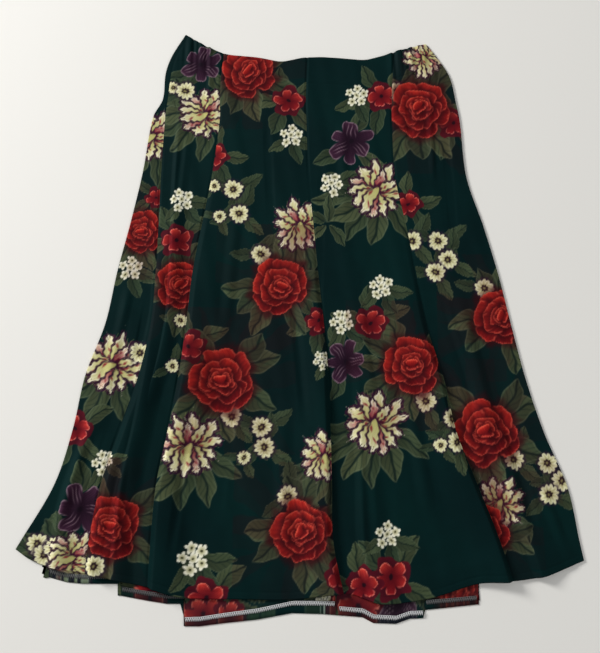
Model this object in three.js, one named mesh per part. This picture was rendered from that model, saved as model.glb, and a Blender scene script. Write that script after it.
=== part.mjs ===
// A gored midi skirt laid out flat, face up: millimetres, X to the wearer's left, Y toward the waist, Z up.
// Eight gores close into a tube, flattened so that the front gores lie on the back gores. Two gores wrap
// round the side folds. The back hem reaches below the front hem, so its narrow turn-ups show.
import * as THREE from 'three';

// Cloth
const CLOTH = 1.2;            // wall thickness
const SEAM_GAP = 0.3;         // between neighbouring gores
const LAYER_GAP = 0.3;        // between cloth and the cloth it lies on
const LAYER = CLOTH + LAYER_GAP;
const UNDER_MID = CLOTH / 2;  // mid height of the gores that lie on the floor
const UPPER_MID = UNDER_MID + LAYER;

// How the front gores lie
const EDGE_REACH = 26;        // width over which the front comes down to a side fold
const HEM_LIFT_REACH = 22;    // full lift over the back hem's turn-ups, up to this far above the front hem
const HEM_LIFT_EASE = 30;     // and the length over which the lift fades out above that

// Gathers that the elastic pulls in at both ends of the waist
const GATHER_PITCH = 18;
const GATHER_HEIGHT = 3;
const GATHER_LENGTH = 75;
const GATHER_FROM = 128;      // distance from the centre where the elastic starts
const GATHER_EASE = 22;

// Seams and side folds of the upper layer: x at each height y
const STATIONS = [
  { y: 460, leftFold: -192, sideSeam: -186, leftSeam: -132, centre: 4, rightSeam: 144, rightFold: 190 },
  { y: 420, leftFold: -214, sideSeam: -207, leftSeam: -131, centre: 5, rightSeam: 144, rightFold: 219 },
  { y: 390, leftFold: -223, sideSeam: -214, leftSeam: -134, centre: 4, rightSeam: 143, rightFold: 236 },
  { y: 345, leftFold: -226, sideSeam: -218, leftSeam: -135, centre: 3, rightSeam: 141, rightFold: 245 },
  { y: 315, leftFold: -240, sideSeam: -221, leftSeam: -134, centre: 4, rightSeam: 141, rightFold: 250 },
  { y: 220, leftFold: -253, sideSeam: -224, leftSeam: -144, centre: 8, rightSeam: 145, rightFold: 258 },
  { y: 140, leftFold: -268, sideSeam: -225, leftSeam: -157, centre: 16, rightSeam: 161, rightFold: 282 },
  { y: 60, leftFold: -285, sideSeam: -226, leftSeam: -170, centre: 24, rightSeam: 176, rightFold: 303 },
  { y: -20, leftFold: -299, sideSeam: -230, leftSeam: -177, centre: 33, rightSeam: 190, rightFold: 320 },
  { y: -100, leftFold: -325, sideSeam: -246, leftSeam: -186, centre: 40, rightSeam: 214, rightFold: 338 },
  { y: -180, leftFold: -339, sideSeam: -271, leftSeam: -199, centre: 43, rightSeam: 231, rightFold: 362 },
  { y: -260, leftFold: -361, sideSeam: -294, leftSeam: -213, centre: 45, rightSeam: 261, rightFold: 393 },
  { y: -340, leftFold: -404, sideSeam: -307, leftSeam: -218, centre: 47, rightSeam: 291, rightFold: 407 },
  { y: -430, leftFold: -456, sideSeam: -312, leftSeam: -220, centre: 66, rightSeam: 316, rightFold: 424 },
];

// Heights between which the seams of the under layer slant; below the lower one they run straight down
const WAIST_LEVEL = 420;
const HEM_LEVEL = -425;

// Seams of the under layer are straight: x at the waist and at the hem
const UNDER_SEAMS = {
  rightSideSeam: { waist: 196, hem: 330 },
  backRightSeam: { waist: 112, hem: 177 },
  centreBack: { waist: 4, hem: 50 },
  backLeftSeam: { waist: -116, hem: -167 },
};

// Waist edge and front hem edge
const WAIST = [
  { x: -192, y: 457.5 }, { x: -160, y: 438 }, { x: -130, y: 426 }, { x: -71, y: 419 },
  { x: -38, y: 414 }, { x: 2, y: 421 }, { x: 36, y: 422 }, { x: 96, y: 419 }, { x: 124, y: 425 },
  { x: 157, y: 436 }, { x: 198, y: 448 },
];
const FRONT_HEM = [
  { x: -412, y: -352 }, { x: -388, y: -367 }, { x: -362, y: -377 }, { x: -314, y: -385 },
  { x: -217, y: -405 }, { x: -169, y: -418 }, { x: -90, y: -420 }, { x: -10, y: -420 },
  { x: 68, y: -412 }, { x: 115, y: -425 }, { x: 184, y: -418 }, { x: 256, y: -397 },
  { x: 300, y: -394 }, { x: 352, y: -386 }, { x: 412, y: -364 },
];

// Back hem edge, in straight stretches: it steps where a hidden fold doubles the cloth
const BACK_HEM = [
  { x: -456, y: -348 }, { x: -412, y: -352 }, { x: -363, y: -374 }, { x: -362, y: -391 },
  { x: -335, y: -398 }, { x: -313, y: -400 }, { x: -259, y: -400 }, { x: -258, y: -416 },
  { x: -218, y: -423 }, { x: -191, y: -427 }, { x: -167.1, y: -427 }, { x: -166.9, y: -457.5 },
  { x: -144, y: -457.5 }, { x: -109, y: -453 }, { x: -62, y: -448 }, { x: -12, y: -439 },
  { x: 30, y: -440 }, { x: 88, y: -444 }, { x: 104, y: -452 }, { x: 136, y: -453 }, { x: 156, y: -446 },
  { x: 176.9, y: -445 }, { x: 177.1, y: -434 }, { x: 217, y: -430 }, { x: 254, y: -426 },
  { x: 255, y: -394 }, { x: 352, y: -383 }, { x: 412, y: -364 }, { x: 460, y: -352 },
];

// Folds of the upper layer. Each follows a seam at an offset in x, from its top to its bottom, where it
// is highest; left and right are how far its two flanks reach.
const FOLDS = [
  { along: 'leftSeam', offset: 9, top: 330, bottom: -430, height: 12, left: 13, right: 62 },
  { along: 'leftSeam', offset: -48, top: 250, bottom: -300, height: 6, left: 22, right: 30 },
  { along: 'sideSeam', offset: 11, top: 60, bottom: -420, height: 9, left: 13, right: 34 },
  { along: 'sideSeam', offset: 24, top: 400, bottom: 20, height: 4, left: 10, right: 24 },
  { along: 'sideSeam', offset: -44, top: -60, bottom: -380, height: 6, left: 26, right: 30 },
  { along: 'centre', offset: -8, top: 200, bottom: -430, height: 11, left: 58, right: 12 },
  { along: 'centre', offset: 46, top: 40, bottom: -430, height: 6, left: 26, right: 44 },
  { along: 'rightSeam', offset: -9, top: 230, bottom: -430, height: 11, left: 56, right: 13 },
  { along: 'rightSeam', offset: 44, top: 140, bottom: -400, height: 7, left: 24, right: 40 },
];

// Turn-ups of the back hem: from and to in x, and the free upper edge above the hem edge at both ends
const TURN_UPS = [
  { name: 'hem_turn_outer_left', from: -361, to: -260, startWidth: 11, endWidth: 13 },
  { name: 'hem_turn_side_left', from: -257, to: -168, startWidth: 12, endWidth: 13 },
  { name: 'hem_turn_back_left', from: -166, to: 50, startWidth: 12, endWidth: 18 },
  { name: 'hem_turn_back_right', from: 54, to: 176, startWidth: 12, endWidth: 10 },
  { name: 'hem_turn_side_right', from: 178.5, to: 253, startWidth: 13, endWidth: 12 },
];
const TURN_UP_INSET = 0.8;    // from the hem edge to the turned-up cloth
const TURN_UP_STEP = 9;       // longest stretch of a turn-up between two points

// Fineness of the faceted cloth
const ROWS = 22;
const UNDER_ROWS = 8;
const FOLD_ARC_STEPS = 3;
const CORNER_CLEARANCE = 0.012; // share of a gore's width between a hem corner and the next column or seam
const SLOPE_STEP = 0.5;       // distance over which slopes are measured

const clamp01 = (value) => Math.min(1, Math.max(0, value));
const mix = (a, b, t) => a + (b - a) * t;

function ease(t) {
  const c = clamp01(t);
  return c * c * (3 - 2 * c);
}

// The interval of an ordered table that holds a value, going up or down
function findInterval(table, key, value) {
  const rising = table[table.length - 1][key] > table[0][key];
  let i = 0;
  while (i < table.length - 2 && (rising ? value > table[i + 1][key] : value < table[i + 1][key])) i += 1;
  return i;
}

function readStraight(table, key, column, value) {
  const i = findInterval(table, key, value);
  const t = clamp01((value - table[i][key]) / (table[i + 1][key] - table[i][key]));
  return mix(table[i][column], table[i + 1][column], t);
}

function slopeAt(table, key, column, i) {
  const before = table[Math.max(0, i - 1)];
  const after = table[Math.min(table.length - 1, i + 1)];
  return (after[column] - before[column]) / (after[key] - before[key]);
}

// A smooth curve through the rows of a table, level beyond its ends
function readSmooth(table, key, column, value) {
  const i = findInterval(table, key, value);
  const span = table[i + 1][key] - table[i][key];
  const t = clamp01((value - table[i][key]) / span);
  const startSlope = slopeAt(table, key, column, i) * span;
  const endSlope = slopeAt(table, key, column, i + 1) * span;
  const start = table[i][column];
  const end = table[i + 1][column];
  return (2 * t ** 3 - 3 * t ** 2 + 1) * start + (t ** 3 - 2 * t ** 2 + t) * startSlope
    + (3 * t ** 2 - 2 * t ** 3) * end + (t ** 3 - t ** 2) * endSlope;
}

const upperX = (line, y) => readSmooth(STATIONS, 'y', line, y);
const waistY = (x) => readSmooth(WAIST, 'x', 'y', x);
const frontHemY = (x) => readSmooth(FRONT_HEM, 'x', 'y', x);
const backHemY = (x) => readStraight(BACK_HEM, 'x', 'y', x);

function underX(line, y) {
  const { waist, hem } = UNDER_SEAMS[line];
  return mix(waist, hem, Math.min(1, (WAIST_LEVEL - y) / (WAIST_LEVEL - HEM_LEVEL)));
}

// One soft ridge, rising from nothing at its top end to its full height at the bottom
function foldHeight(fold, x, y) {
  if (y >= fold.top) return 0;
  const along = (fold.top - y) / (fold.top - fold.bottom);
  const away = x - upperX(fold.along, y) - fold.offset;
  const reach = away < 0 ? fold.left : fold.right;
  return fold.height * ease(along * 1.3) * ease(1 - Math.abs(away) / reach);
}

function gatherHeight(x, y) {
  const near = ease((Math.abs(x) - GATHER_FROM) / GATHER_EASE);
  const fade = ease(1 - (waistY(x) - y) / GATHER_LENGTH);
  return GATHER_HEIGHT * near * fade * (0.5 + 0.5 * Math.cos((2 * Math.PI * x) / GATHER_PITCH));
}

// Mid height of the upper layer of cloth
function upperZ(x, y) {
  const toFold = Math.min(x - upperX('leftFold', y), upperX('rightFold', y) - x);
  const clearOfFold = ease(toFold / EDGE_REACH);
  const overHem = ease(1 - (y - frontHemY(x) - HEM_LIFT_REACH) / HEM_LIFT_EASE);
  const relief = Math.max(...FOLDS.map((fold) => foldHeight(fold, x, y)));
  return UPPER_MID + clearOfFold * (LAYER * overHem + relief + gatherHeight(x, y));
}

function upperPoint(x, y) {
  const slopeX = (upperZ(x + SLOPE_STEP, y) - upperZ(x - SLOPE_STEP, y)) / (2 * SLOPE_STEP);
  const slopeY = (upperZ(x, y + SLOPE_STEP) - upperZ(x, y - SLOPE_STEP)) / (2 * SLOPE_STEP);
  return {
    at: new THREE.Vector3(x, y, upperZ(x, y)),
    out: new THREE.Vector3(-slopeX, -slopeY, 1).normalize(),
  };
}

function underPoint(x, y) {
  return { at: new THREE.Vector3(x, y, UNDER_MID), out: new THREE.Vector3(0, 0, -1) };
}

// Height down a gore at share s from waist to hem, following the edges at the place it has there
function placeDown(xAt, topY, bottomY, s) {
  let y = mix(WAIST_LEVEL, HEM_LEVEL, s);
  for (let pass = 0; pass < 8; pass += 1) {
    const x = xAt(y);
    y = mix(topY(x), bottomY(x), s);
  }
  return y;
}

// Shares across a gore, closer together near its two seams
function seamSpacing(count) {
  return Array.from({ length: count + 1 }, (_, i) => 0.5 - 0.5 * Math.cos((Math.PI * i) / count));
}

function upperColumn(leftX, rightX, share) {
  const xAt = (y) => mix(leftX(y), rightX(y), share);
  return (s) => {
    const y = placeDown(xAt, waistY, frontHemY, s);
    return upperPoint(xAt(y), y);
  };
}

// A column of the under layer ends on the stepped back hem, at a given height where it meets a corner
function underColumn(leftX, rightX, { share, cornerY }) {
  const xAt = (y) => mix(leftX(y), rightX(y), share);
  const hemY = cornerY === undefined ? backHemY : () => cornerY;
  return (s) => {
    const y = placeDown(xAt, waistY, hemY, s);
    return underPoint(xAt(y), y);
  };
}

// Columns round a side fold: a half turn from the upper to the under layer
function foldColumns(line, side) {
  const radius = (UPPER_MID - UNDER_MID) / 2;
  const height = (UPPER_MID + UNDER_MID) / 2;
  const columns = [];
  for (let i = 1; i < FOLD_ARC_STEPS; i += 1) {
    const turn = (Math.PI * i) / FOLD_ARC_STEPS;
    columns.push((s) => {
      const y = placeDown((level) => upperX(line, level), waistY, frontHemY, s);
      const out = new THREE.Vector3(side * Math.sin(turn), 0, Math.cos(turn));
      const at = new THREE.Vector3(upperX(line, y) - side * radius, y, height).addScaledVector(out, radius);
      return { at, out };
    });
  }
  return columns;
}

// A closed wall of cloth: both faces lie half a thickness off the middle sheet, and a rim joins them
function clothGeometry(columns, rows) {
  const positions = [];
  const indices = [];
  const across = columns.length;
  for (const face of [1, -1]) {
    for (let row = 0; row <= rows; row += 1) {
      for (const column of columns) {
        const { at, out } = column(row / rows);
        positions.push(...at.addScaledVector(out, (face * CLOTH) / 2).toArray());
      }
    }
  }
  const inner = across * (rows + 1);
  const quad = (a, b, c, d) => indices.push(a, b, c, a, c, d);
  for (let row = 0; row < rows; row += 1) {
    for (let i = 0; i < across - 1; i += 1) {
      const a = row * across + i;
      quad(a, a + across, a + across + 1, a + 1);
      quad(inner + a, inner + a + 1, inner + a + across + 1, inner + a + across);
    }
    const left = row * across;
    const right = left + across - 1;
    quad(left, inner + left, inner + left + across, left + across);
    quad(right, right + across, inner + right + across, inner + right);
  }
  for (let i = 0; i < across - 1; i += 1) {
    const bottom = rows * across + i;
    quad(i, i + 1, inner + i + 1, inner + i);
    quad(bottom, inner + bottom, inner + bottom + 1, bottom + 1);
  }
  const geometry = new THREE.BufferGeometry();
  geometry.setAttribute('position', new THREE.Float32BufferAttribute(positions, 3));
  geometry.setIndex(indices);
  geometry.computeVertexNormals();
  return geometry;
}

function clothPiece(name, columns, rows) {
  const material = new THREE.MeshStandardMaterial({ color: 0x07211f, roughness: 0.75, metalness: 0 });
  const mesh = new THREE.Mesh(clothGeometry(columns, rows), material);
  mesh.name = name;
  return mesh;
}

const afterSeam = (lineX) => (y) => lineX(y) + SEAM_GAP / 2;
const beforeSeam = (lineX) => (y) => lineX(y) - SEAM_GAP / 2;
const upper = (line) => (y) => upperX(line, y);
const under = (line) => (y) => underX(line, y);

// A front gore between two seams of the upper layer
function frontGore(name, leftLine, rightLine, columnCount) {
  const leftX = afterSeam(upper(leftLine));
  const rightX = beforeSeam(upper(rightLine));
  return clothPiece(name, seamSpacing(columnCount).map((u) => upperColumn(leftX, rightX, u)), ROWS);
}

// Columns across an under gore: one to each corner of its hem, and even ones where no corner is near
function underColumns(leftX, rightX, count) {
  const shareOf = ({ x, y }) => (x - leftX(y)) / (rightX(y) - leftX(y));
  const corners = BACK_HEM
    .map((corner) => ({ share: shareOf(corner), cornerY: corner.y }))
    .filter(({ share }) => share > CORNER_CLEARANCE && share < 1 - CORNER_CLEARANCE);
  const isCrowded = (share) => corners.some((corner) => Math.abs(corner.share - share) < CORNER_CLEARANCE);
  const even = Array.from({ length: count + 1 }, (_, i) => ({ share: i / count }))
    .filter(({ share }) => !isCrowded(share));
  return [...even, ...corners]
    .sort((a, b) => a.share - b.share)
    .map((place) => underColumn(leftX, rightX, place));
}

// A back gore lies face down, so its columns run from the wearer's other side
function backGore(name, leftLine, rightLine, columnCount) {
  const leftX = beforeSeam(under(rightLine));
  const rightX = afterSeam(under(leftLine));
  return clothPiece(name, underColumns(leftX, rightX, columnCount), UNDER_ROWS);
}

// The right side front gore wraps round the right fold to a seam beneath
function rightWrapGore() {
  const leftX = afterSeam(upper('rightSeam'));
  const rightX = (y) => upperX('rightFold', y) - (UPPER_MID - UNDER_MID) / 2;
  const seamX = afterSeam(under('rightSideSeam'));
  const top = seamSpacing(11).map((u) => upperColumn(leftX, rightX, u));
  const beneath = underColumns(rightX, seamX, 3);
  return clothPiece('side_front_right', [...top, ...foldColumns('rightFold', 1), ...beneath], ROWS);
}

// The left side back gore wraps round the left fold, so a strip of it shows on top
function leftWrapGore() {
  const seamX = beforeSeam(under('backLeftSeam'));
  const foldX = (y) => upperX('leftFold', y) + (UPPER_MID - UNDER_MID) / 2;
  const sideX = beforeSeam(upper('sideSeam'));
  const beneath = underColumns(seamX, foldX, 5);
  const top = seamSpacing(8).map((u) => upperColumn(foldX, sideX, u));
  return clothPiece('side_back_left', [...beneath, ...foldColumns('leftFold', -1).reverse(), ...top], ROWS);
}

// A turned-up strip lies on the inner face of its back gore
function turnUp({ name, from, to, startWidth, endWidth }) {
  const count = Math.ceil((to - from) / TURN_UP_STEP);
  const columns = Array.from({ length: count + 1 }, (_, i) => {
    const share = i / count;
    const x = mix(from, to, share);
    const hemY = backHemY(x);
    const width = mix(startWidth, endWidth, share);
    return (s) => ({
      at: new THREE.Vector3(x, hemY + mix(width, TURN_UP_INSET, s), UPPER_MID),
      out: new THREE.Vector3(0, 0, 1),
    });
  });
  return clothPiece(name, columns, 1);
}

const skirt = new THREE.Group();
skirt.add(
  frontGore('side_front_left', 'sideSeam', 'leftSeam', 9),
  frontGore('front_left', 'leftSeam', 'centre', 14),
  frontGore('front_right', 'centre', 'rightSeam', 14),
  rightWrapGore(),
  backGore('side_back_right', 'backRightSeam', 'rightSideSeam', 5),
  backGore('back_right', 'centreBack', 'backRightSeam', 5),
  backGore('back_left', 'backLeftSeam', 'centreBack', 6),
  leftWrapGore(),
  ...TURN_UPS.map(turnUp),
);

export default skirt;
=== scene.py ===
"""A gored midi skirt laid flat: cloth, print, seams, gathers, stitched hem, floor, light and camera."""
import math

import bpy
import numpy as np
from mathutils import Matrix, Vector


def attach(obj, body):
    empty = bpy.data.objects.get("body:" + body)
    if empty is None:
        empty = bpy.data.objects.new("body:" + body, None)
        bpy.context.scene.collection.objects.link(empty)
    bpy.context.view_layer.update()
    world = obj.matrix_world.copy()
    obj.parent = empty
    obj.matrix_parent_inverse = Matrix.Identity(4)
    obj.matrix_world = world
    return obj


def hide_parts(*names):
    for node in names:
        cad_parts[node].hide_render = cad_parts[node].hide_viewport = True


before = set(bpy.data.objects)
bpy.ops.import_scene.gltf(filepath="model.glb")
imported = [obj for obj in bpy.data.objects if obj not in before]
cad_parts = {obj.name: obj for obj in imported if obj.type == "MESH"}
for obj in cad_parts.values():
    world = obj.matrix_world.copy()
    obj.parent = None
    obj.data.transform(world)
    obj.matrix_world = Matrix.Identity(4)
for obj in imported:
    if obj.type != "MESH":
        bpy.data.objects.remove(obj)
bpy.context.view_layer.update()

MM = 0.001
FULL_TURN = 2 * math.pi

# ---- Cut of the skirt, in millimetres, as the frame holds it -------------------------------------

LAYER = 1.5
UNDER_MID = 0.6
UPPER_MID = UNDER_MID + LAYER
EDGE_REACH = 26
HEM_LIFT_REACH = 22
HEM_LIFT_EASE = 30
GATHER_FROM = 128
GATHER_EASE = 22
GATHER_LENGTH = 75

STATION_Y = [460, 420, 390, 345, 315, 220, 140, 60, -20, -100, -180, -260, -340, -430]
UPPER_LINES = {
    "left_fold": [-192, -214, -223, -226, -240, -253, -268, -285, -299, -325, -339, -361, -404, -456],
    "side_seam": [-186, -207, -214, -218, -221, -224, -225, -226, -230, -246, -271, -294, -307, -312],
    "left_seam": [-132, -131, -134, -135, -134, -144, -157, -170, -177, -186, -199, -213, -218, -220],
    "centre": [4, 5, 4, 3, 4, 8, 16, 24, 33, 40, 43, 45, 47, 66],
    "right_seam": [144, 144, 143, 141, 141, 145, 161, 176, 190, 214, 231, 261, 291, 316],
    "right_fold": [190, 219, 236, 245, 250, 258, 282, 303, 320, 338, 362, 393, 407, 424],
}
WAIST_LEVEL = 420
HEM_LEVEL = -425
UNDER_LINES = {
    "right_side_seam": (196, 330),
    "back_right_seam": (112, 177),
    "centre_back": (4, 50),
    "back_left_seam": (-116, -167),
}
WAIST = [(-192, 457.5), (-160, 438), (-130, 426), (-71, 419), (-38, 414), (2, 421), (36, 422), (96, 419),
         (124, 425), (157, 436), (198, 448)]
FRONT_HEM = [(-412, -352), (-388, -367), (-362, -377), (-314, -385), (-217, -405), (-169, -418), (-90, -420),
             (-10, -420), (68, -412), (115, -425), (184, -418), (256, -397), (300, -394), (352, -386),
             (412, -364)]
BACK_HEM = [(-456, -348), (-412, -352), (-363, -374), (-362, -391), (-335, -398), (-313, -400), (-259, -400),
            (-258, -416), (-218, -423), (-191, -427), (-167.1, -427), (-166.9, -457.5), (-144, -457.5),
            (-109, -453), (-62, -448), (-12, -439), (30, -440), (88, -444), (104, -452), (136, -453),
            (156, -446), (176.9, -445), (177.1, -434), (217, -430), (254, -426), (255, -394), (352, -383),
            (412, -364), (460, -352)]

# Folds: seam followed, offset from it, top, bottom, height, reach of the left and right flanks
FOLDS = [
    ("left_seam", 9, 330, -430, 12, 10, 62),
    ("left_seam", -48, 250, -300, 8, 13, 30),
    ("side_seam", 11, 60, -420, 9, 10, 34),
    ("side_seam", 24, 400, 20, 6, 8, 24),
    ("side_seam", -44, -60, -380, 7, 14, 30),
    ("centre", -8, 200, -430, 11, 58, 9),
    ("centre", 46, 40, -430, 7, 14, 44),
    ("right_seam", -9, 230, -430, 11, 56, 10),
    ("right_seam", 44, 140, -400, 8, 13, 40),
]


def ease(t):
    c = np.clip(t, 0, 1)
    return c * c * (3 - 2 * c)


def read_smooth(keys, values, at):
    """Smooth curve through a table, the same one that shapes the frame's gores."""
    keys = np.asarray(keys, float)
    values = np.asarray(values, float)
    if keys[-1] < keys[0]:
        keys, values = keys[::-1], values[::-1]
    i = np.clip(np.searchsorted(keys, at, side="left") - 1, 0, len(keys) - 2)
    span = keys[i + 1] - keys[i]
    t = np.clip((at - keys[i]) / span, 0, 1)
    low = np.maximum(np.arange(len(keys)) - 1, 0)
    high = np.minimum(np.arange(len(keys)) + 1, len(keys) - 1)
    slopes = (values[high] - values[low]) / (keys[high] - keys[low])
    return ((2 * t**3 - 3 * t**2 + 1) * values[i] + (t**3 - 2 * t**2 + t) * slopes[i] * span
            + (3 * t**2 - 2 * t**3) * values[i + 1] + (t**3 - t**2) * slopes[i + 1] * span)


def upper_x(line, y):
    return read_smooth(STATION_Y, UPPER_LINES[line], y)


def under_x(line, y):
    waist, hem = UNDER_LINES[line]
    t = np.minimum(1, (WAIST_LEVEL - y) / (WAIST_LEVEL - HEM_LEVEL))
    return waist + (hem - waist) * t


def table_curve(table, x):
    return read_smooth([p[0] for p in table], [p[1] for p in table], x)


def waist_y(x):
    return table_curve(WAIST, x)


def front_hem_y(x):
    return table_curve(FRONT_HEM, x)


def back_hem_y(x):
    return np.interp(x, [p[0] for p in BACK_HEM], [p[1] for p in BACK_HEM])


# ---- Relief of the upper layer -------------------------------------------------------------------

# Gathers of the elastic: a few waves of different pitch, so that no two are alike
GATHER_WAVES = [(18, 2.5, 0.0), (11.3, 1.5, 1.1), (7.4, 0.7, 2.3)]

# Creases: start, end, height (a trough where negative), reach to either side
CREASES = [
    (-60, 330, -48, 120, -0.9, 9), (-18, 60, 8, -190, -1.2, 10), (-104, 180, -118, -60, 1.2, 14),
    (-96, -40, -130, -330, -1.4, 16), (-30, -120, -22, -400, 1.6, 18), (-160, -120, -190, -380, -1.2, 9),
    (60, 330, 66, 130, 1.0, 12), (96, 90, 118, -150, -1.4, 14), (150, -60, 190, -330, 1.6, 16),
    (92, -170, 104, -410, -1.5, 12), (222, -96, 250, -190, -1.6, 9), (236, 40, 290, -200, 1.6, 15),
    (226, 300, 236, 110, -1.2, 9), (300, -120, 345, -350, -1.8, 13), (200, 380, 206, 200, 1.2, 8),
    (-190, 300, -200, 150, -1.1, 8), (-262, 60, -300, -170, 1.5, 12), (-300, -170, -350, -350, -1.8, 12),
    (-258, -200, -275, -385, 1.4, 10), (-232, 40, -262, -150, -1.2, 8), (30, 250, 24, -20, -0.8, 8),
    (-150, 400, -156, 250, 1.0, 7), (166, 392, 172, 250, -1.1, 7), (350, -250, 385, -350, 1.4, 12),
]
# Slow waves of limp cloth: wavelengths in x and y, height, phase
SLACK_WAVES = [(71, 330, 0.45, 0.4), (43, 190, 0.3, 2.0), (118, 97, 0.35, 4.1), (27, 140, 0.16, 1.3)]
CREASE_DEPTH = 1.8
SEAM_DIP = 1.2
SEAM_REACH = 3.2
CASING_DEPTH = 46
CASING_DIP = 0.5
CASING_REACH = 2.4
HEM_STITCH_RISE = 10
# How far the upper layer can sink before it lies on the under one
SINK = 0.9


def fold_height(fold, x, y):
    line, offset, top, bottom, height, left, right = fold
    along = np.clip((top - y) / (top - bottom), 0, None)
    away = x - upper_x(line, y) - offset
    reach = np.where(away < 0, left, right)
    return height * ease(along * 1.3) * ease(1 - np.abs(away) / reach)


def crease_height(crease, x, y):
    x0, y0, x1, y1, height, reach = crease
    dx, dy = x1 - x0, y1 - y0
    length = math.hypot(dx, dy)
    t = ((x - x0) * dx + (y - y0) * dy) / length**2
    away = np.abs((x - x0) * dy - (y - y0) * dx) / length
    fade = ease(t / 0.3) * ease((1 - t) / 0.3)
    return height * fade * ease(1 - away / reach)


def gather_height(x, y):
    near = ease((np.abs(x) - GATHER_FROM) / GATHER_EASE)
    fade = ease(1 - (waist_y(x) - y) / GATHER_LENGTH)
    lean = x + 0.03 * (y - 420) * np.sign(x)
    waves = sum(h * (0.5 + 0.5 * np.cos(FULL_TURN * lean / pitch + phase + 0.02 * y))
                for pitch, h, phase in GATHER_WAVES)
    return waves * near * fade


def small_relief(x, y):
    total = CREASE_DEPTH * sum(crease_height(c, x, y) for c in CREASES)
    for wave_x, wave_y, height, phase in SLACK_WAVES:
        total = total + height * np.sin(FULL_TURN * (x / wave_x + y / wave_y) + phase)
    for line in ("side_seam", "left_seam", "centre", "right_seam"):
        away = np.abs(x - upper_x(line, y))
        total = total - SEAM_DIP * ease(1 - away / SEAM_REACH)
    below_waist = waist_y(x) - y
    total = total - CASING_DIP * ease(1 - np.abs(below_waist - CASING_DEPTH) / CASING_REACH)
    above_hem = y - front_hem_y(x)
    total = total - CASING_DIP * ease(1 - np.abs(above_hem - HEM_STITCH_RISE) / CASING_REACH)
    return total


def upper_z(x, y):
    to_fold = np.minimum(x - upper_x("left_fold", y), upper_x("right_fold", y) - x)
    clear = ease(to_fold / EDGE_REACH)
    over_hem = ease(1 - (y - front_hem_y(x) - HEM_LIFT_REACH) / HEM_LIFT_EASE)
    relief = np.max([fold_height(f, x, y) for f in FOLDS], axis=0)
    relief = relief + gather_height(x, y) + small_relief(x, y)
    relief = np.where(relief < 0, SINK * np.tanh(relief / SINK), relief)
    return UPPER_MID + clear * (LAYER * over_hem + relief)


# ---- Print: plain drawings of common flowers, placed gore by gore ---------------------------------

GROUND = (1, 31, 30)
GROUND_SHADE = (1, 24, 25)

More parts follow.
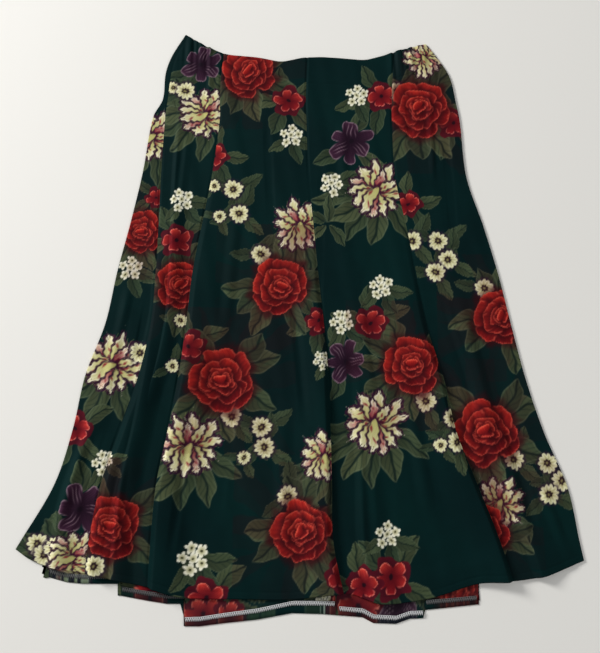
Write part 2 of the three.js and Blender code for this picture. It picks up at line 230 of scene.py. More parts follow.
# Flowers of each gore: kind, x, y, turn in degrees, radius, charted in steps of 5 mm on the laid-out cloth
FLOWERS = {
    "front_left": [
        ("iris", -215, 405, 0, 35), ("red", -25, 345, 10, 30), ("red", -140, 250, 60, 25),
        ("red", 25, -15, 30, 25), ("red", -170, -55, 5, 30), ("red", -135, -420, 20, 35),
        ("red", 60, -385, 50, 30), ("tulip", -5, 135, 100, 45), ("tulip", -165, -205, 80, 50),
        ("tulip", 35, -220, 95, 40), ("cluster", -20, 285, 0, 20), ("cluster", 30, -75, 40, 15),
        ("cluster", -155, -365, 20, 25), ("daisy", -110, 195, 0, 15), ("daisy", -100, 155, 40, 15),
        ("daisy", -130, 150, 10, 10), ("daisy", -140, 200, 70, 10), ("daisy", -65, 90, 20, 15),
        ("daisy", -105, -160, 30, 15), ("daisy", -60, -175, 0, 15), ("daisy", -55, -205, 50, 15),
        ("daisy", -85, -220, 15, 10), ("daisy", -20, -275, 60, 15), ("rose", -90, 395, 20, 45),
        ("rose", -35, 40, -20, 45), ("rose", -120, -105, 15, 50), ("rose", 0, -325, 70, 45),
    ],
    "front_right": [
        ("iris", 75, 275, 20, 40), ("iris", 65, -75, 60, 35), ("red", 125, 355, 25, 30),
        ("red", 105, -15, 0, 30), ("red", 130, -390, 35, 35), ("red", 90, -400, 80, 30),
        ("tulip", 115, 195, 55, 50), ("tulip", 110, -170, 80, 50), ("cluster", 85, 355, 0, 20),
        ("cluster", 45, 205, 50, 20), ("cluster", 120, 40, 10, 20), ("cluster", 60, -15, 30, 20),
        ("cluster", 125, -330, 0, 20), ("daisy", 185, -135, 10, 15), ("daisy", 225, -160, 60, 15),
        ("daisy", 230, -195, 0, 15), ("daisy", 205, -200, 30, 10), ("sprig", 40, 140, 90, 25),
        ("rose", 165, -80, 10, 45),
    ],
    "side_front_right": [
        ("tulip", 195, 420, 120, 35), ("red", 240, 310, 15, 30), ("red", 165, 175, 70, 25),
        ("tulip", 290, -285, 60, 40), ("daisy", 150, 365, 0, 15), ("daisy", 170, 115, 30, 15),
        ("daisy", 210, 115, 0, 15), ("daisy", 225, 85, 50, 15), ("daisy", 205, 65, 20, 15),
        ("daisy", 280, 40, 10, 15), ("daisy", 315, -220, 40, 15), ("daisy", 365, -225, 0, 15),
        ("daisy", 385, -250, 25, 15), ("daisy", 365, -270, 60, 15), ("rose", 185, 335, 40, 50),
        ("rose", 305, -5, 80, 45), ("rose", 275, -180, 20, 50), ("rose", 265, -325, -30, 40),
    ],
    "side_front_left": [
        ("iris", -165, 405, 15, 35), ("red", -195, 110, 20, 30), ("tulip", -160, 320, 20, 45),
        ("cluster", -190, 175, 20, 20), ("daisy", -210, 365, 0, 10), ("daisy", -190, 360, 40, 15),
        ("daisy", -185, -15, 10, 10), ("daisy", -195, -85, 50, 10), ("cluster", -290, -225, 30, 15),
        ("rose", -185, 40, 60, 40), ("rose", -275, -320, 5, 45), ("daisy", -295, -375, 20, 15),
    ],
    "side_back_left": [
        ("tulip", -240, 280, 30, 45), ("red", -230, 180, 40, 20), ("tulip", -285, -85, 35, 50),
        ("red", -335, -180, 10, 30), ("iris", -320, -295, 45, 40), ("cluster", -265, 65, 0, 20),
        ("cluster", -290, -230, 25, 20), ("daisy", -245, -65, 0, 15), ("daisy", -380, -345, 30, 15),
        ("daisy", -370, -360, 0, 15), ("daisy", -355, -350, 60, 15), ("tulip", -330, -365, 20, 40),
        ("rose", -250, 125, 25, 35), ("rose", -150, -250, 10, 45), ("red", -215, -410, 0, 30),
    ],
    "back_left": [
        ("red", -140, -440, 30, 35), ("red", -100, -445, 70, 30), ("sprig", -60, -430, 60, 40),
        ("sprig", 0, -425, 20, 40), ("cluster", 35, -425, 10, 15), ("red", 60, -425, 50, 25),
    ],
    "back_right": [("red", 85, -430, 10, 40), ("iris", 140, -425, 30, 35), ("sprig", 170, -435, 70, 35)],
    "side_back_right": [("sprig", 190, -420, 30, 30), ("rose", 230, -410, 20, 35)],
}

# Leaves round a flower: angle, distance out, length and half width in its radius, tone
LEAVES = {
    "rose": [(8, 0.6, 0.95, 0.26, 0.5), (36, 0.62, 0.9, 0.25, 0.2), (112, 0.6, 0.9, 0.27, 0.7),
             (142, 0.62, 0.85, 0.24, 0.3), (204, 0.6, 1.0, 0.27, 0.6), (232, 0.6, 0.85, 0.25, 0.2),
             (262, 0.6, 0.95, 0.27, 0.8), (318, 0.6, 0.9, 0.25, 0.4)],
    "red": [(20, 0.5, 1.15, 0.3, 0.6), (95, 0.5, 1.1, 0.28, 0.3), (170, 0.5, 1.2, 0.3, 0.7),
            (236, 0.5, 1.2, 0.31, 0.2), (300, 0.5, 1.2, 0.3, 0.5)],
    "tulip": [(-150, 0.45, 1.0, 0.23, 0.6), (-176, 0.6, 0.9, 0.2, 0.3), (158, 0.5, 1.0, 0.24, 0.8),
              (-112, 0.4, 1.0, 0.22, 0.4), (108, 0.4, 0.95, 0.22, 0.2), (136, 0.5, 1.15, 0.2, 0.5)],
    "iris": [(50, 0.5, 0.95, 0.24, 0.4), (190, 0.5, 0.9, 0.23, 0.2), (300, 0.5, 0.9, 0.24, 0.6)],
    "daisy": [(30, 0.6, 2.1, 0.5, 0.3), (160, 0.6, 1.9, 0.45, 0.1), (280, 0.6, 2.0, 0.48, 0.5)],
    "cluster": [(-20, 0.4, 1.5, 0.38, 0.4), (-70, 0.5, 1.4, 0.36, 0.1), (215, 0.5, 1.2, 0.32, 0.5)],
    "sprig": [(0, 0.1, 1.3, 0.25, 0.5), (62, 0.2, 1.1, 0.24, 0.2), (130, 0.2, 1.0, 0.22, 0.7),
              (215, 0.1, 1.2, 0.24, 0.4)],
}
REACH = {"rose": 2.2, "red": 2.4, "tulip": 2.4, "iris": 2.1, "daisy": 3.8, "cluster": 2.9, "sprig": 2.2}
LEAF_LENGTH = 1.4
LEAF_WIDTH = 1.4


def mix_colour(a, b, t):
    t = np.asarray(t)[..., None]
    return np.asarray(a, float) * (1 - t) + np.asarray(b, float) * t


def soft(distance, width=0.03):
    """Coverage of a shape from the signed distance inside its edge, both in the motif's own radius."""
    return np.clip(distance / width + 0.5, 0, 1)


def turned(u, v, degrees):
    c, s = math.cos(math.radians(degrees)), math.sin(math.radians(degrees))
    return u * c + v * s, v * c - u * s


def paint(canvas, cover, colour):
    canvas[:] = canvas * (1 - cover[..., None]) + colour * cover[..., None]


def draw_petal(canvas, u, v, angle, out, length, width, shades, rim, streak=0.0, fray=0.0, blunt=0.35):
    """One petal: base at distance out along angle, with a dark base, a lit middle and a pale rim."""
    p, q = turned(u, v, angle)
    t = (p - out) / length
    inner = np.clip(t, 1e-4, 1)
    half = width * 1.75 * inner**0.65 * np.clip(1 - inner, 0, 1) ** blunt
    scallop = (0.05 * np.sin(5.3 * q / width + angle) + 1.6 * fray * np.sin(27 * inner + 3 * angle)) * inner
    torn = fray * np.sin(31 * q / width + 0.7 * angle) * np.sin(12 * q / width + angle)
    inside = np.minimum(half * (1 + scallop) - np.abs(q), (1 - t + torn) * length)
    inside = np.where(t < 0, -1, inside)
    dark, light = shades
    lit = np.clip(t, 0, 1) ** 1.3 * (1 - 0.3 * np.abs(q) / width)
    colour = mix_colour(dark, light, np.clip(lit, 0, 1))
    veins = streak * np.clip(np.sin(21 * q / width + 3 * t + angle), 0, 1) * ease(1.35 - t)
    colour = mix_colour(colour, dark, np.clip(veins, 0, 1))
    rim_cover = soft(0.045 - inside, 0.04) * ease((t - 0.5) / 0.25)
    paint(canvas, soft(inside), mix_colour(colour, rim, rim_cover * 0.7))


def shade_petal_edge(canvas, u, v, angle, out, length, width):
    """A dark line that a petal throws on those below it, painted before the petal."""
    p, q = turned(u, v, angle)
    t = np.clip((p - out) / length, 0, 1.2)
    inside = np.minimum(width * 1.15 - np.abs(q), (1.1 - t) * length)
    paint(canvas, soft(inside, 0.16) * 0.5 * (t > 0.05), np.asarray((52, 6, 12), float))


ROSE_DEEP, ROSE_DARK, ROSE_LIGHT = (46, 5, 10), (96, 9, 14), (206, 48, 34)
ROSE_RIM = (222, 92, 70)
# Petals of a cabbage rose from the outside in: angle, distance out, length, half width
ROSE_PETALS = [
    (300, 0.14, 0.86, 0.44), (352, 0.1, 0.8, 0.4), (246, 0.1, 0.9, 0.42), (198, 0.14, 0.8, 0.46),
    (34, 0.14, 0.82, 0.44), (150, 0.12, 0.86, 0.42), (92, 0.14, 0.82, 0.5), (322, 0.02, 0.72, 0.3),
    (272, 0.0, 0.7, 0.4), (218, 0.04, 0.66, 0.36), (14, 0.06, 0.6, 0.32), (168, 0.04, 0.6, 0.36),
    (64, 0.1, 0.56, 0.38), (118, 0.08, 0.56, 0.36), (294, -0.08, 0.52, 0.3), (238, -0.06, 0.46, 0.32),
    (340, -0.06, 0.44, 0.26), (186, -0.04, 0.4, 0.26), (84, 0.0, 0.4, 0.34), (136, -0.04, 0.34, 0.22),
    (30, -0.04, 0.34, 0.22), (262, -0.14, 0.32, 0.22), (96, -0.06, 0.24, 0.22),
]


def draw_rose(canvas, u, v, turn):
    r = np.hypot(u, v)
    paint(canvas, soft(0.8 - r), mix_colour(ROSE_DEEP, ROSE_DARK, r))
    for k, (angle, out, length, width) in enumerate(ROSE_PETALS):
        angle = angle + 10 * math.sin(2.3 * k + turn)
        facing = 0.5 + 0.5 * math.cos(math.radians(angle + turn - 115))
        light = mix_colour((128, 14, 20), ROSE_LIGHT, facing**0.8)
        dark = mix_colour(ROSE_DEEP, ROSE_DARK, facing)
        shade_petal_edge(canvas, u, v, angle, out, length, width)
        draw_petal(canvas, u, v, angle, out, length, width, (dark, light), ROSE_RIM, 0.35, 0.03)


def draw_red(canvas, u, v, turn):
    r = np.hypot(u, v)
    angle = np.arctan2(v, u)
    edge = 0.84 + 0.09 * np.cos(5 * angle) + 0.04 * np.sin(9 * angle)
    paint(canvas, soft(edge - r) * 0.95, mix_colour((46, 8, 18), (86, 14, 28), r))
    for k, size in enumerate((0.66, 0.56, 0.7, 0.54, 0.6)):
        place = 74 * k + 12
        facing = 0.5 + 0.5 * math.cos(math.radians(place + turn - 90))
        light = mix_colour((150, 26, 30), (206, 62, 48), facing)
        draw_petal(canvas, u, v, place, 0.06, size, 0.27, ((86, 10, 20), light), (232, 130, 110), 0.35)
    paint(canvas, soft(0.1 - r), np.asarray((34, 8, 18), float))


CREAM, STRAW, WINE, PLUM = (232, 224, 190), (172, 168, 100), (118, 20, 36), (44, 20, 40)
# Petals of a parrot tulip: angle, distance out, length, half width, whether wine-coloured
TULIP_BACK = [(100, 0.06, 0.82, 0.2, 1), (-102, 0.06, 0.8, 0.2, 0), (68, 0.08, 0.88, 0.22, 0),
              (-66, 0.08, 0.88, 0.2, 0), (40, 0.06, 0.96, 0.22, 0), (-36, 0.06, 1.0, 0.24, 0),
              (4, 0.04, 1.0, 0.24, 0), (20, 0.02, 0.74, 0.17, 1), (-20, 0.02, 0.7, 0.17, 0)]
TULIP_FRONT = [(128, -0.04, 0.94, 0.25, 0), (-128, -0.04, 0.9, 0.25, 0), (152, -0.1, 1.0, 0.24, 0),
               (-156, -0.1, 0.96, 0.24, 1), (178, -0.16, 1.0, 0.23, 0)]


def draw_tulip_petal(canvas, u, v, row):
    angle, out, length, width, wine = row
    dark = WINE if wine else STRAW
    draw_petal(canvas, u, v, angle, out, length * 1.06, width * 1.25, (PLUM, PLUM), PLUM, 0, 0.12, 0.5)
    draw_petal(canvas, u, v, angle, out, length, width, (dark, CREAM), (238, 232, 206), 0.3, 0.2, 0.75)
    p, q = turned(u, v, angle)
    t = (p - out) / length
    flame = soft(0.012 + 0.03 * np.sin(19 * t + angle) - np.abs(q + 0.4 * width * np.sin(6 * t)), 0.04)
    paint(canvas, flame * ease((0.8 - t) / 0.2) * ease(t / 0.15) * 0.8, np.asarray(WINE, float))
    barbs = np.clip(np.sin(60 * q + 16 * t), 0, 1) ** 3 * (np.abs(q) < width) * (t > 0.15) * (t < 0.95)
    paint(canvas, barbs * 0.35, np.asarray(STRAW, float))


def draw_tulip(canvas, u, v, turn):
    for row in TULIP_BACK:
        draw_tulip_petal(canvas, u, v, row)
    angle = np.arctan2(v, u)
    heart = 0.26 + 0.05 * np.sin(5 * angle + 1) + 0.05 * np.sin(11 * angle)
    r = np.hypot(u, v)
    paint(canvas, soft(heart - r, 0.08), mix_colour(PLUM, WINE, np.clip(r * 2.2 - 0.2, 0, 1)))
    for row in TULIP_FRONT:
        draw_tulip_petal(canvas, u, v, row)


def draw_iris(canvas, u, v, turn):
    pale = (150, 128, 136)
    for k in range(6):
        wide = 0.34 if k % 2 else 0.26
        draw_petal(canvas, u, v, 60 * k + 10, 0.02, 0.95 - 0.08 * (k % 3), wide, ((28, 12, 26), (66, 36, 56)),
                   pale, 0.6)
    for k in range(3):
        p, q = turned(u, v, 120 * k + 66)
        lines = np.clip(np.sin(46 * q + 5 * p), 0, 1) ** 2
        where = soft(0.16 - np.abs(q), 0.1) * soft(0.24 - np.abs(p - 0.5), 0.2)
        paint(canvas, lines * where * 0.5, np.asarray((176, 152, 156), float))
    paint(canvas, soft(0.1 - np.hypot(u, v)), np.asarray((22, 10, 22), float))


def draw_daisy(canvas, u, v, turn):
    r = np.hypot(u, v)
    angle = np.arctan2(v, u)
    fringe = 1.25 + 0.14 * np.abs(np.sin(6.5 * angle + 0.4))
    paint(canvas, ease((fringe - r) / 0.45) * 0.85, np.asarray((38, 24, 42), float))
    edge = 0.74 + 0.26 * np.abs(np.sin(5.5 * angle)) ** 0.8 + 0.05 * np.sin(3 * angle + 1)
    shade = mix_colour((146, 138, 84), (230, 226, 186), np.clip(r * 1.1 + 0.2 * np.cos(11 * angle), 0, 1))
    paint(canvas, soft(edge - r, 0.1), shade)
    paint(canvas, soft(0.36 + 0.05 * np.cos(7 * angle) - r, 0.1), np.asarray((42, 28, 30), float))
    paint(canvas, soft(0.13 - np.hypot(u + 0.04, v), 0.08), np.asarray((126, 118, 74), float))


CLUSTER_PLACES = [(0.05, 0.66), (0.6, 0.24), (-0.56, 0.28), (0.34, -0.42), (-0.4, -0.5), (0.02, 0.08)]


def draw_cluster(canvas, u, v, turn):
    paint(canvas, ease((1.05 - np.hypot(u, v)) / 0.5) * 0.45, np.asarray((30, 36, 26), float))
    for k, (across, up) in enumerate(CLUSTER_PLACES):
        size = 0.37 + 0.03 * math.sin(2.2 * k)
        p, q = (u - across) / size, (v - up) / size
        r = np.hypot(p, q)
        angle = np.arctan2(q, p) + 0.7 * k
        edge = 0.5 + 0.5 * np.abs(np.cos(2.5 * angle)) ** 0.7
        shade = mix_colour((150, 146, 98), (236, 232, 210), np.clip(r * 1.3, 0, 1))
        paint(canvas, soft(edge - r, 0.14), shade)
        paint(canvas, soft(0.19 - r, 0.12), np.asarray((40, 38, 20), float))


def draw_leaf(canvas, u, v, angle, out, length, width, tone):
    p, q = turned(u, v, angle)
    t = (p - out) / length
    inner = np.clip(t, 0, 1)
    bend = q - 0.3 * width * np.sin(math.pi * inner) * math.sin(angle)
    half = width * np.sin(math.pi * inner**0.85) ** 0.8
    inside = np.minimum(half - np.abs(bend), np.minimum(t, 1 - t) * length)
    side = np.where(bend > 0, 1.0, 0.0)
    base = mix_colour((42, 56, 40), (74, 80, 54), tone)
    colour = mix_colour(base * 0.62, base * 1.12, 0.3 + 0.35 * side + 0.35 * ease(t * 1.4))
    veins = np.clip(np.sin(30 * (t - 0.45 * np.abs(bend) / width)), 0, 1) ** 3 * 0.4
    colour = mix_colour(colour, (20, 34, 28), veins)
    colour = mix_colour(colour, (14, 28, 24), soft(0.035 - np.abs(bend), 0.04) * 0.85)
    rim = soft(0.04 - inside, 0.03) * 0.35
    paint(canvas, soft(inside), mix_colour(colour, (104, 114, 88), rim))


def draw_leaves(canvas, u, v, kind):
    for angle, out, length, width, tone in LEAVES[kind]:
        draw_leaf(canvas, u, v, angle, out, length * LEAF_LENGTH, width * LEAF_WIDTH, tone)


# Each drawing takes the canvas, the two coordinates and the motif's turn, which only lit petals read
DRAWINGS = {"rose": draw_rose, "red": draw_red, "tulip": draw_tulip, "iris": draw_iris,
            "daisy": draw_daisy, "cluster": draw_cluster}


def hand_drawn(u, v, seed):
    """Bend a motif a little, so that no two flowers are drawn alike."""
    bent_u = u + 0.045 * np.sin(5.1 * v + seed) + 0.02 * np.sin(13 * v + 2 * seed)
    bent_v = v + 0.045 * np.sin(4.7 * u + 1.7 * seed) + 0.02 * np.sin(11 * u + seed)
    return bent_u, bent_v


def print_colours(gore, x, y):
    """Print at points of the cloth, in sRGB 0 to 255: leaves first, then the flowers on them."""
    blotch = 0.5 + 0.5 * np.sin(x / 37 + 1.3 * np.sin(y / 53)) * np.sin(y / 61)
    canvas = mix_colour(GROUND, GROUND_SHADE, blotch)
    for with_leaves in (True, False):
        for kind, at_x, at_y, turn, radius in FLOWERS[gore]:
            reach = REACH[kind] * radius
            near = (np.abs(x - at_x) < reach) & (np.abs(y - at_y) < reach)
            if not near.any():
                continue
            u, v = turned((x[near] - at_x) / radius, (y[near] - at_y) / radius, turn)
            u, v = hand_drawn(u, v, at_x + at_y)
            patch = canvas[near]
            if with_leaves:
                draw_leaves(patch, u, v, kind)
            elif kind in DRAWINGS:
                DRAWINGS[kind](patch, u, v, turn)
            canvas[near] = patch
    return canvas


# ---- Meshes --------------------------------------------------------------------------------------

def to_linear(srgb):
    value = np.clip(srgb / 255, 0, 1)
    return np.where(value <= 0.04045, value / 12.92, ((value + 0.055) / 1.055) ** 2.4)


def grid_object(name, points, colours, material):
    """A sheet from a grid of points in mm, with its print and a flat map for baking."""
    rows, across, _ = points.shape
    mesh = bpy.data.meshes.new(name)
    index = np.arange(rows * across).reshape(rows, across)
    quads = np.stack([index[1:, :-1], index[1:, 1:], index[:-1, 1:], index[:-1, :-1]], -1).reshape(-1, 4)
    mesh.vertices.add(rows * across)
    mesh.vertices.foreach_set("co", (points * MM).ravel())
    mesh.loops.add(quads.size)
    mesh.loops.foreach_set("vertex_index", quads.ravel())
    mesh.polygons.add(len(quads))
    mesh.polygons.foreach_set("loop_start", np.arange(0, quads.size, 4))
    mesh.update(calc_edges=True)
    mesh.polygons.foreach_set("use_smooth", np.ones(len(quads), bool))
    rgba = np.ones((rows * across, 4))
    rgba[:, :3] = to_linear(colours)
    layer = mesh.color_attributes.new("Print", "FLOAT_COLOR", "POINT")
    layer.data.foreach_set("color", rgba.ravel())
    flat = np.stack(np.meshgrid(np.linspace(0, 1, across), np.linspace(0, 1, rows)), -1).reshape(-1, 2)
    uv = mesh.uv_layers.new(name="OFBake")
    uv.data.foreach_set("uv", flat[quads.ravel()].ravel())
    mesh.materials.append(material)
    mesh.validate()
    piece = bpy.data.objects.new(name, mesh)
    bpy.context.scene.collection.objects.link(piece)
    return piece


def place_down(x_at, hem, s):
    y = WAIST_LEVEL + (HEM_LEVEL - WAIST_LEVEL) * s
    for _ in range(8):
        x = x_at(y)
        y = waist_y(x) + (hem(x) - waist_y(x)) * s
    return x_at(y), y


def span_points(left, right, hem, across, rows):
    u, s = np.meshgrid(np.linspace(0, 1, across), np.linspace(0, 1, rows))
    return place_down(lambda y: left(y) + (right(y) - left(y)) * u, hem, s)


WRONG_SIDE = (58, 66, 60)
RIM_DROP = 1.0
RIM_TUCK = 0.8


def with_rim(points):
    """Turn the waist edge and the hem edge down by the thickness of the folded cloth."""
    waist_rim = points[:1] + np.array([0, -RIM_TUCK, -RIM_DROP])
    hem_rim = points[-1:] + np.array([0, RIM_TUCK, -RIM_DROP])
    return np.concatenate([waist_rim, points, hem_rim], 0)


def repeat_rim(colours):
    return np.concatenate([colours[:1], colours, colours[-1:]], 0)


def upper_sheet(left, right, across, rows):
    x, y = span_points(left, right, front_hem_y, across, rows)
    return np.stack([x, y, upper_z(x, y)], -1)


def under_sheet(left, right, across, rows):
    x, y = span_points(left, right, back_hem_y, across, rows)
    return np.stack([x, y, np.full_like(x, UNDER_MID)], -1)


def fold_arc(line, side, rows, steps=5):
    """Half turn round a side fold, from the upper to the under layer, as columns of points."""
    s = np.linspace(0, 1, rows)
    _, y = place_down(lambda level: upper_x(line, level), front_hem_y, s)
    radius = (UPPER_MID - UNDER_MID) / 2
    columns = []
    for i in range(1, steps):
        turn = math.pi * i / steps
        x = upper_x(line, y) - side * radius + side * radius * math.sin(turn)
        z = np.full_like(x, (UPPER_MID + UNDER_MID) / 2 + radius * math.cos(turn))
        columns.append(np.stack([x, y, z], -1))
    return np.stack(columns, 1)


def upper(line):
    return lambda y: upper_x(line, y)


def under(line):
    return lambda y: under_x(line, y)


def inside_fold(line, side):
    radius = (UPPER_MID - UNDER_MID) / 2
    return lambda y: upper_x(line, y) - side * radius


def coloured(gore, points, dull):
    """Print of a gore, dulled where the wrong side of the cloth shows."""
    flat = points.reshape(-1, 3)
    colours = print_colours(gore, flat[:, 0], flat[:, 1])
    return mix_colour(colours, WRONG_SIDE, np.full(len(colours), dull)).reshape(points.shape)


def cloth_piece(node, points, material, dull=0.0):
    colours = coloured(node, points, dull)
    piece = grid_object(node + "_cloth", with_rim(points), repeat_rim(colours).reshape(-1, 3), material)
    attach(piece, "root")
    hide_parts(node)
    return piece


# ---- Materials -----------------------------------------------------------------------------------

def cloth_material(name, roughness, sheen):
    material = bpy.data.materials.new(name)
    material.use_nodes = True
    nodes, links = material.node_tree.nodes, material.node_tree.links
    shader = nodes["Principled BSDF"]
    shader.inputs["Roughness"].default_value = roughness
    shader.inputs["Sheen Weight"].default_value = sheen
    shader.inputs["Sheen Roughness"].default_value = 0.5
    shader.inputs["Specular IOR Level"].default_value = 0.06
    colour = nodes.new("ShaderNodeAttribute")
    colour.attribute_name = "Print"
    place = nodes.new("ShaderNodeTexCoord")
    crepe = nodes.new("ShaderNodeTexNoise")
    crepe.inputs["Scale"].default_value = 900
    crepe.inputs["Detail"].default_value = 3
    tone = nodes.new("ShaderNodeTexNoise")
    tone.inputs["Scale"].default_value = 60
    tone.inputs["Detail"].default_value = 4
    shade = nodes.new("ShaderNodeMapRange")
    shade.inputs["To Min"].default_value = 0.86
    shade.inputs["To Max"].default_value = 1.12
    tint = nodes.new("ShaderNodeMix")
    tint.data_type = "RGBA"
    tint.blend_type = "MULTIPLY"
    tint.inputs["Factor"].default_value = 1
    bump = nodes.new("ShaderNodeBump")
    bump.inputs["Strength"].default_value = 0.35
    bump.inputs["Distance"].default_value = 0.0003
    links.new(place.outputs["Object"], crepe.inputs["Vector"])
    links.new(place.outputs["Object"], tone.inputs["Vector"])
    links.new(tone.outputs["Fac"], shade.inputs["Value"])
    links.new(colour.outputs["Color"], tint.inputs["A"])
    links.new(shade.outputs["Result"], tint.inputs["B"])
    links.new(tint.outputs["Result"], shader.inputs["Base Color"])
    links.new(crepe.outputs["Fac"], bump.inputs["Height"])
    links.new(bump.outputs["Normal"], shader.inputs["Normal"])
    return material


def thread_material(name, dark, light):
    material = bpy.data.materials.new(name)
    material.use_nodes = True
    nodes, links = material.node_tree.nodes, material.node_tree.links
    shader = nodes["Principled BSDF"]
    shader.inputs["Roughness"].default_value = 0.6
    twist = nodes.new("ShaderNodeTexNoise")
    twist.inputs["Scale"].default_value = 700
    ramp = nodes.new("ShaderNodeMapRange")
    ramp.inputs["To Min"].default_value = dark
    ramp.inputs["To Max"].default_value = light
    links.new(twist.outputs["Fac"], ramp.inputs["Value"])
    links.new(ramp.outputs["Result"], shader.inputs["Base Color"])
    return material


# ---- Build ---------------------------------------------------------------------------------------

FINE_ROWS = 560
BACK_ROWS = 300
FRONT_COLUMNS = 176
SIDE_COLUMNS = 76
INSIDE_DULL = 0.18
crepe = cloth_material("Printed crepe", 0.75, 0.0)
crepe_inside = cloth_material("Printed crepe inside", 0.85, 0.0)
thread = thread_material("Overlock thread", 0.55, 0.85)
# The same overlock thread painted much darker to stand in for the front hem's shadow: painted shade
painted_shade_thread = thread_material("Overlock thread with painted shade", 0.08, 0.16)


def front_piece(node, left, right, columns):
    return cloth_piece(node, upper_sheet(upper(left), upper(right), columns, FINE_ROWS), crepe)


def right_wrap():
    top = upper_sheet(upper("right_seam"), inside_fold("right_fold", 1), 110, FINE_ROWS)
    arc = fold_arc("right_fold", 1, FINE_ROWS)
    beneath = under_sheet(inside_fold("right_fold", 1), under("right_side_seam"), 20, FINE_ROWS)
    return cloth_piece("side_front_right", np.concatenate([top, arc, beneath], 1), crepe)


def left_wrap():
    beneath = under_sheet(under("back_left_seam"), inside_fold("left_fold", -1), 60, FINE_ROWS)
    arc = fold_arc("left_fold", -1, FINE_ROWS)[:, ::-1]
    top = upper_sheet(inside_fold("left_fold", -1), upper("side_seam"), 70, FINE_ROWS)
    return cloth_piece("side_back_left", np.concatenate([beneath, arc, top], 1), crepe)


def back_piece(node, left, right, across):
    points = under_sheet(under(left), under(right), across, BACK_ROWS)
    return cloth_piece(node, points, crepe_inside, dull=INSIDE_DULL)


front_left = front_piece("front_left", "left_seam", "centre", FRONT_COLUMNS)
front_right = front_piece("front_right", "centre", "right_seam", FRONT_COLUMNS)
side_front_left = front_piece("side_front_left", "side_seam", "left_seam", SIDE_COLUMNS)
side_front_right = right_wrap()
side_back_left = left_wrap()
back_left = back_piece("back_left", "back_left_seam", "centre_back", 150)
back_right = back_piece("back_right", "centre_back", "back_right_seam", 90)
side_back_right = back_piece("side_back_right", "back_right_seam", "right_side_seam", 80)

# Turn-ups of the back hem: node, the gore that carries it, from, to, width at both ends
TURN_UPS = [
    ("hem_turn_outer_left", "side_back_left", -361, -260, 11, 13),
    ("hem_turn_side_left", "side_back_left", -257, -168, 12, 13),
    ("hem_turn_back_left", "back_left", -166, 50, 12, 18),
    ("hem_turn_back_right", "back_right", 54, 176, 12, 10),
    ("hem_turn_side_right", "side_back_right", 178.5, 253, 13, 12),
]
# Turn-ups whose stitching lies in the shadow of the front hem: their thread is painted darker, a painted
# shade
PAINTED_SHADE_TURN_UPS = ("hem_turn_outer_left", "hem_turn_side_left", "hem_turn_side_right")
STITCH_PITCH = 2.6
STITCH_REACH = 5.6
STITCH_RADIUS = 0.42


def turn_up_edges(row, x):
    _, _, start, end, start_width, end_width = row
    share = (x - start) / (end - start)
    foot = back_hem_y(x) + 0.3
    return foot, back_hem_y(x) + start_width + (end_width - start_width) * share


def turn_up_sheet(row):
    node, gore, start, end, _, _ = row
    x = np.linspace(start, end, int((end - start) / 1.2))
    foot, free = turn_up_edges(row, x)
    levels = np.linspace(0, 1, 12)
    y = free[None, :] + (foot - free)[None, :] * levels[:, None]
    z = UPPER_MID - (UPPER_MID - UNDER_MID) * ease((levels - 0.75) / 0.25)[:, None]
    z = z + 0.25 * np.sin(x / 9.0)[None, :] * (1 - levels[:, None])
    points = np.stack([np.broadcast_to(x, y.shape), y, z], -1)
    colours = print_colours(gore, x, foot + 12)
    shown = mix_colour(colours, GROUND, np.full(len(colours), 0.5))
    grid = np.broadcast_to(shown[None], y.shape + (3,)).reshape(-1, 3)
    piece = grid_object(node + "_cloth", points, grid, crepe)
    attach(piece, "root")
    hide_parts(node)
    return piece


def tube_between(start, end, radius, sides=5):
    """Vertices and faces of a short thread from one point to another."""
    along = (end - start) / np.linalg.norm(end - start)
    across = np.cross(along, (0, 0, 1.0))
    across /= np.linalg.norm(across)
    up = np.cross(across, along)
    mid = (start + end) / 2 + up * radius * 0.8
    rings = []
    for centre, size in ((start, 0.5), (mid, 1.0), (end, 0.5)):
        ring = [centre + radius * size * (math.cos(a) * across + math.sin(a) * up)
                for a in np.linspace(0, FULL_TURN, sides, endpoint=False)]
        rings.append(ring)
    faces = []
    for k in range(2):
        for i in range(sides):
            j = (i + 1) % sides
            faces.append((k * sides + i, k * sides + j, (k + 1) * sides + j, (k + 1) * sides + i))
    faces.append(tuple(range(sides))[::-1])
    faces.append(tuple(range(2 * sides, 3 * sides)))
    return np.concatenate(rings), faces


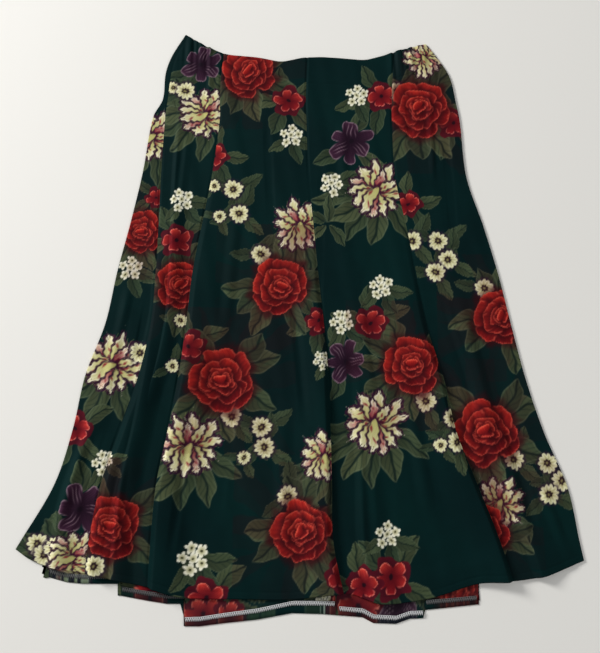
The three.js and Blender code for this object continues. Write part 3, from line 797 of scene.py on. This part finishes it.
def stitches(row):
    node, _, start, end, _, _ = row
    vertices, faces = [], []
    height = UPPER_MID + 0.35
    for x in np.arange(start + 1.5, end - 1.5, STITCH_PITCH):
        _, free = turn_up_edges(row, x)
        _, free_next = turn_up_edges(row, x + 1.6)
        legs = [((x, free + 0.5), (x + 1.5, free_next - STITCH_REACH)),
                ((x + 1.5, free_next - STITCH_REACH), (x + STITCH_PITCH, free + 0.5)),
                ((x, free + 0.4), (x + STITCH_PITCH, free + 0.4))]
        for a, b in legs:
            points, sides = tube_between(np.array([*a, height]), np.array([*b, height]), STITCH_RADIUS)
            base = sum(len(v) for v in vertices)
            vertices.append(points)
            faces += [tuple(base + i for i in face) for face in sides]
    mesh = bpy.data.meshes.new(node + "_overlock")
    mesh.from_pydata((np.concatenate(vertices) * MM).tolist(), [], faces)
    # Stitching that lies under the front hem gets the darker thread, a painted shade
    mesh.materials.append(painted_shade_thread if node in PAINTED_SHADE_TURN_UPS else thread)
    for polygon in mesh.polygons:
        polygon.use_smooth = True
    piece = bpy.data.objects.new(node + "_overlock", mesh)
    bpy.context.scene.collection.objects.link(piece)
    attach(piece, "root")
    return piece


gore_hems = {gore: [] for gore in FLOWERS}
for turn_up in TURN_UPS:
    gore_hems[turn_up[1]] += [turn_up_sheet(turn_up), stitches(turn_up)]

# ---- Room, light and camera ----------------------------------------------------------------------

def pale_floor():
    bpy.ops.mesh.primitive_plane_add(size=6, location=(0, 0, -0.0005))
    floor = bpy.context.object
    floor.name = "floor"
    material = bpy.data.materials.new("Pale floor")
    material.use_nodes = True
    shader = material.node_tree.nodes["Principled BSDF"]
    shader.inputs["Base Color"].default_value = (0.80, 0.78, 0.73, 1)
    shader.inputs["Roughness"].default_value = 0.8
    floor.data.materials.append(material)


def area_light(name, at, size, power):
    data = bpy.data.lights.new(name, "AREA")
    data.size = size
    data.energy = power
    lamp = bpy.data.objects.new(name, data)
    lamp.location = at
    lamp.rotation_euler = (-Vector(at)).to_track_quat("-Z", "Y").to_euler()
    bpy.context.scene.collection.objects.link(lamp)


WORLD_COLOUR = (0.95, 0.97, 1.0, 1)
WORLD_STRENGTH = 0.36
CAMERA_LENS = 44.1
CAMERA_PLACE = (-0.0227, -0.2426, 1.199)
CAMERA_TURN = (10.41, -0.98, 0.4)

pale_floor()
area_light("key", (-3.3, 1.9, 1.75), 1.1, 205)
area_light("fill", (2.2, -0.9, 2.8), 2.4, 22)

world = bpy.data.worlds.new("Studio")
world.use_nodes = True
world.node_tree.nodes["Background"].inputs["Color"].default_value = WORLD_COLOUR
world.node_tree.nodes["Background"].inputs["Strength"].default_value = WORLD_STRENGTH
bpy.context.scene.world = world

camera_data = bpy.data.cameras.new("camera")
camera_data.lens = CAMERA_LENS
camera_data.sensor_width = 36
camera = bpy.data.objects.new("camera", camera_data)
camera.location = CAMERA_PLACE
camera.rotation_euler = [math.radians(turn) for turn in CAMERA_TURN]
bpy.context.scene.collection.objects.link(camera)
bpy.context.scene.camera = camera
bpy.context.scene.view_settings.view_transform = "Standard"
